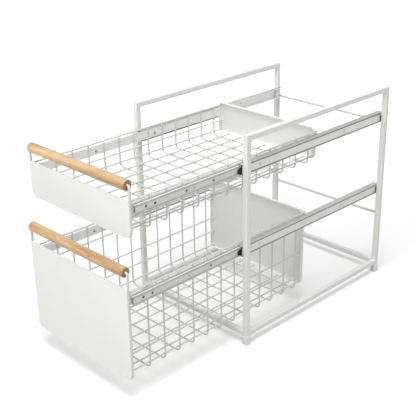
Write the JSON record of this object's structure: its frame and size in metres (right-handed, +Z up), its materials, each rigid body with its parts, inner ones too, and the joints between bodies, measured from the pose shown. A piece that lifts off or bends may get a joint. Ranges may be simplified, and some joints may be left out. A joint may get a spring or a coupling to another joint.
{
  "type": "two-tier drawer organizer",
  "caption": "White steel-tube organizer rack with stacked pull-out wire basket drawers on ball-bearing slides and round wooden handles.",
  "frame": {"origin": "centre of the part's box on the floor, with both drawers pulled out as stored", "axes": "+Z up, +Y from the drawers' fronts towards the back, +X to the right seen from the front"},
  "size_m": [0.2846, 0.658, 0.394],
  "materials": {
    "frame_white": "satin powder coat",
    "panel_white": "satin powder coat",
    "wire_white": "satin powder coat",
    "strip_white": "satin powder coat",
    "rail_steel": "rolled zinc-plated steel",
    "rivet_steel": "plated",
    "ball_steel": "polished",
    "black_plastic": "matt",
    "black_rubber": "matt",
    "foot_plastic": "matt",
    "beech": "oiled beech"
  },
  "bodies": {
    "frame": {"left_front_post": "frame_white", "right_front_post": "frame_white", "left_rear_post": "frame_white", "right_rear_post": "frame_white", "left_top_rail": "frame_white", "right_top_rail": "frame_white", "left_bottom_rail": "frame_white", "right_bottom_rail": "frame_white", "front_crossbar": "frame_white", "rear_crossbar": "frame_white", "upper_rear_rod": "frame_white", "lower_rear_rod": "frame_white", "foot_caps": "foot_plastic", "upper_left_cabinet_rail": "rail_steel", "upper_right_cabinet_rail": "rail_steel", "lower_left_cabinet_rail": "rail_steel", "lower_right_cabinet_rail": "rail_steel", "rail_buffers": "black_rubber", "cabinet_rivets": "rivet_steel"},
    "upper_drawer": {"upper_front_panel": "panel_white", "upper_hoop": "wire_white", "upper_handle": "beech", "upper_cross_wires": "wire_white", "upper_rim_wires": "wire_white", "upper_side_wires": "wire_white", "upper_floor_wires": "wire_white", "upper_rear_panel": "panel_white", "upper_left_strip": "strip_white", "upper_right_strip": "strip_white", "upper_left_drawer_rail": "rail_steel", "upper_right_drawer_rail": "rail_steel", "upper_strip_rivets": "rivet_steel"},
    "lower_drawer": {"lower_front_panel": "panel_white", "lower_hoop": "wire_white", "lower_handle": "beech", "lower_cross_wires": "wire_white", "lower_rim_wires": "wire_white", "lower_side_wires": "wire_white", "lower_floor_wires": "wire_white", "lower_rear_panel": "panel_white", "lower_left_strip": "strip_white", "lower_right_strip": "strip_white", "lower_left_drawer_rail": "rail_steel", "lower_right_drawer_rail": "rail_steel", "lower_strip_rivets": "rivet_steel"},
    "upper_cages": {"upper_ball_cages": "black_plastic", "upper_balls": "ball_steel"},
    "lower_cages": {"lower_ball_cages": "black_plastic", "lower_balls": "ball_steel"}
  },
  "joints": [
    {"name": "upper_drawer_slide", "type": "slide", "parent": "frame", "child": "upper_drawer", "axis": [0, -1, 0], "range_m": [-0.186, 0.1]},
    {"name": "lower_drawer_slide", "type": "slide", "parent": "frame", "child": "lower_drawer", "axis": [0, -1, 0], "range_m": [-0.199, 0.087]},
    {"name": "upper_cage_slide", "type": "slide", "parent": "frame", "child": "upper_cages", "axis": [0, -1, 0], "range_m": [-0.0935, 0.0505]},
    {"name": "lower_cage_slide", "type": "slide", "parent": "frame", "child": "lower_cages", "axis": [0, -1, 0], "range_m": [-0.1, 0.044]}
  ],
  "couplings": [
    {"joint": "upper_cage_slide", "follows": "upper_drawer_slide", "ratio": 0.5},
    {"joint": "lower_cage_slide", "follows": "lower_drawer_slide", "ratio": 0.5}
  ]
}
